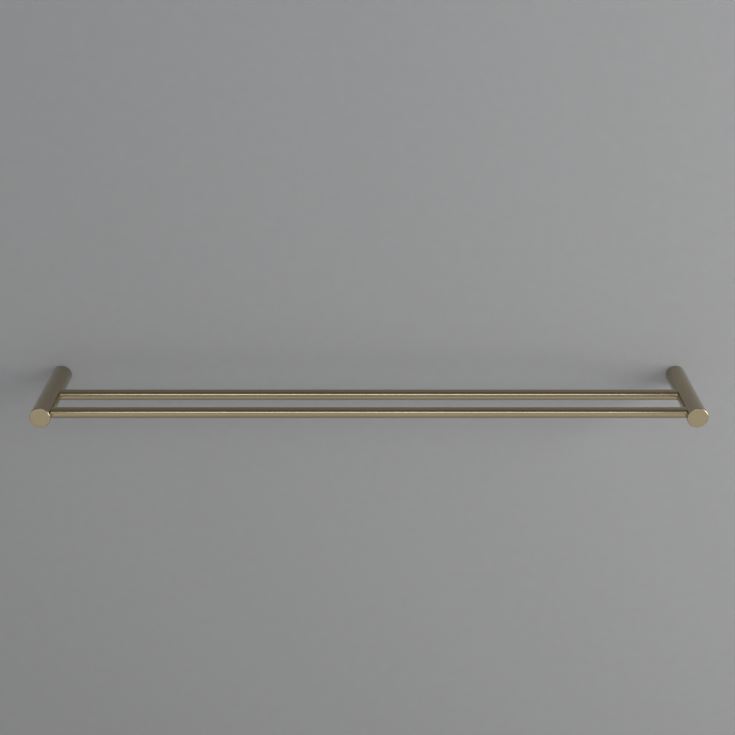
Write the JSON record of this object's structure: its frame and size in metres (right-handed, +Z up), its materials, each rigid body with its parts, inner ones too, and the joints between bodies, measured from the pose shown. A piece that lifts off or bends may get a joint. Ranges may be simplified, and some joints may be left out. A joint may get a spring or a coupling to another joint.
{
  "type": "towel rack",
  "caption": "Double towel rail: two round posts stand out of a wall and carry two parallel round rails, one in front of the other.",
  "frame": {"origin": "on the wall's surface, midway between the two posts and level with their axes", "axes": "+X along the rails, to the right as seen from the room; +Y into the wall; +Z up"},
  "size_m": [0.8, 0.1672, 0.025],
  "materials": {
    "satin_brass": "satin brushed brass with a champagne vapour-deposited coat",
    "plain_brass": "turned brass, uncoated",
    "stainless_steel": "stainless steel, as made",
    "grey_nylon": "moulded nylon, matt"
  },
  "bodies": {
    "root": {"front_rail": "satin_brass", "rear_rail": "satin_brass", "left_post": "satin_brass", "left_wall_bracket": "plain_brass", "left_wall_screw": "stainless_steel", "left_wall_plug": "grey_nylon", "left_bracket_screw": "stainless_steel", "front_rail_left_end_plug": "plain_brass", "front_rail_left_screw": "stainless_steel", "rear_rail_left_end_plug": "plain_brass", "rear_rail_left_screw": "stainless_steel", "right_post": "satin_brass", "right_wall_bracket": "plain_brass", "right_wall_screw": "stainless_steel", "right_wall_plug": "grey_nylon", "right_bracket_screw": "stainless_steel", "front_rail_right_end_plug": "plain_brass", "front_rail_right_screw": "stainless_steel", "rear_rail_right_end_plug": "plain_brass", "rear_rail_right_screw": "stainless_steel"}
  },
  "joints": []
}
